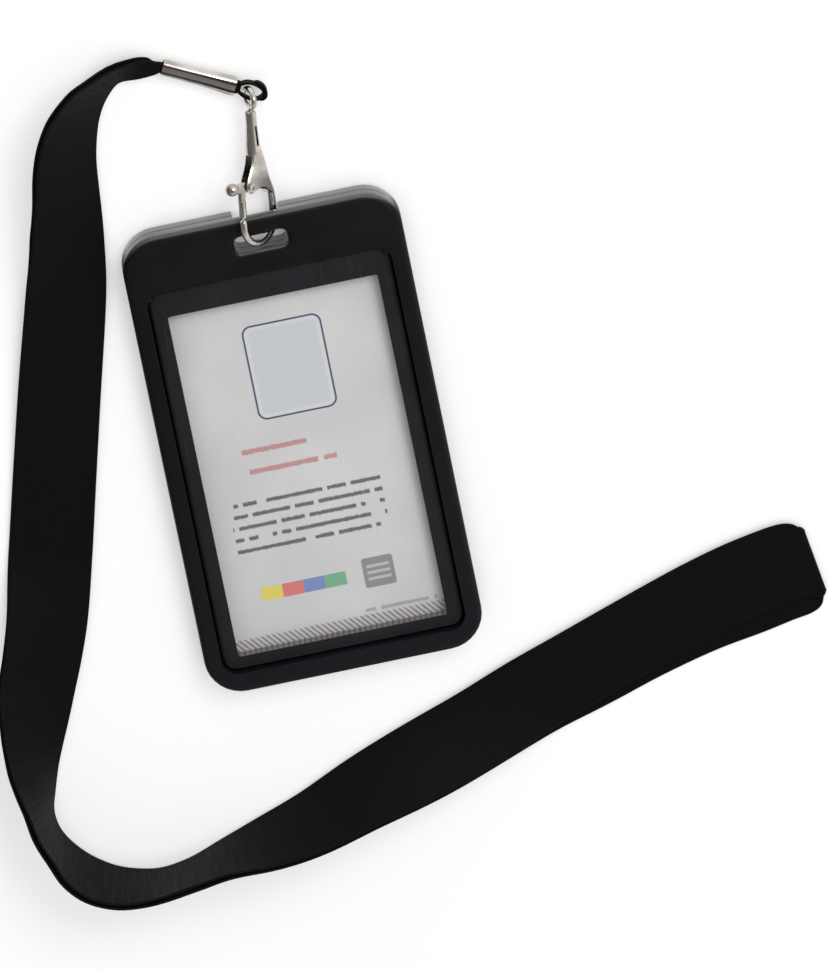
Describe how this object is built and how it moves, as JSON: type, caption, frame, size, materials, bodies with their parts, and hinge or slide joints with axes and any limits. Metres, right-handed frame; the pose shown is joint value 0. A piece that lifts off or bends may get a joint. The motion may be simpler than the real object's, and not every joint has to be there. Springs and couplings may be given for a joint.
{
  "type": "badge holder",
  "caption": "Hard card case with a flip-up window door, hung from a flat neck ribbon by a swivel hook with a sprung gate and a crimp ferrule.",
  "frame": {"origin": "centre of the case's back face, at the height of the surface it lies on", "axes": "+X to the right of the case seen from its front, +Y along the case towards the header and the hook, +Z out of the case's front"},
  "size_m": [0.2024, 0.2072, 0.0205],
  "materials": {
    "case_black": "fine matt grain",
    "door_black": "satin",
    "clear_sheet": "clear plastic, smooth",
    "insert_paper": "matt printed card",
    "ribbon_black": "flat woven polyester",
    "nickel": "polished nickel plate"
  },
  "bodies": {
    "lanyard": {"neck_ribbon": "ribbon_black", "ribbon_end_loop": "ribbon_black", "crimp_ferrule": "nickel"},
    "swivel_eye": {"swivel_eye": "nickel"},
    "hook": {"hook_body": "nickel", "lever_pin": "nickel", "trigger_spring": "nickel"},
    "trigger": {"trigger_lever": "nickel"},
    "holder": {"front_shell": "case_black", "rear_shell": "case_black", "rear_window": "clear_sheet", "insert_card": "insert_paper"},
    "door": {"door_frame": "door_black", "front_window": "clear_sheet"}
  },
  "joints": [
    {"name": "lanyard_swing", "type": "hinge", "parent": "lanyard", "child": "swivel_eye", "pos_m": [0.00447, 0.08981, 0.00484], "axis": [0, 0, 1], "range_deg": [-5, 20]},
    {"name": "swivel", "type": "hinge", "parent": "swivel_eye", "child": "hook", "pos_m": [0.0003, 0.05663, 0.00675], "axis": [0.1246, 0.9906, -0.057], "continuous": true},
    {"name": "trigger", "type": "hinge", "parent": "hook", "child": "trigger", "pos_m": [-0.00057, 0.06692, 0.00827], "axis": [0.698, -0.0467, 0.7145], "range_deg": [0, 30], "stiffness_Nm_per_rad": 0.004, "springref_deg": -8.59, "deforming": ["trigger_spring"]},
    {"name": "holder_swing", "type": "hinge", "parent": "hook", "child": "holder", "pos_m": [0.0003, 0.05663, 0.00675], "axis": [1, 0, 0], "range_deg": [-80, 80]},
    {"name": "door_hinge", "type": "hinge", "parent": "holder", "child": "door", "pos_m": [0, 0.04335, 0.0072], "axis": [-1, 0, 0], "range_deg": [0, 95]}
  ]
}
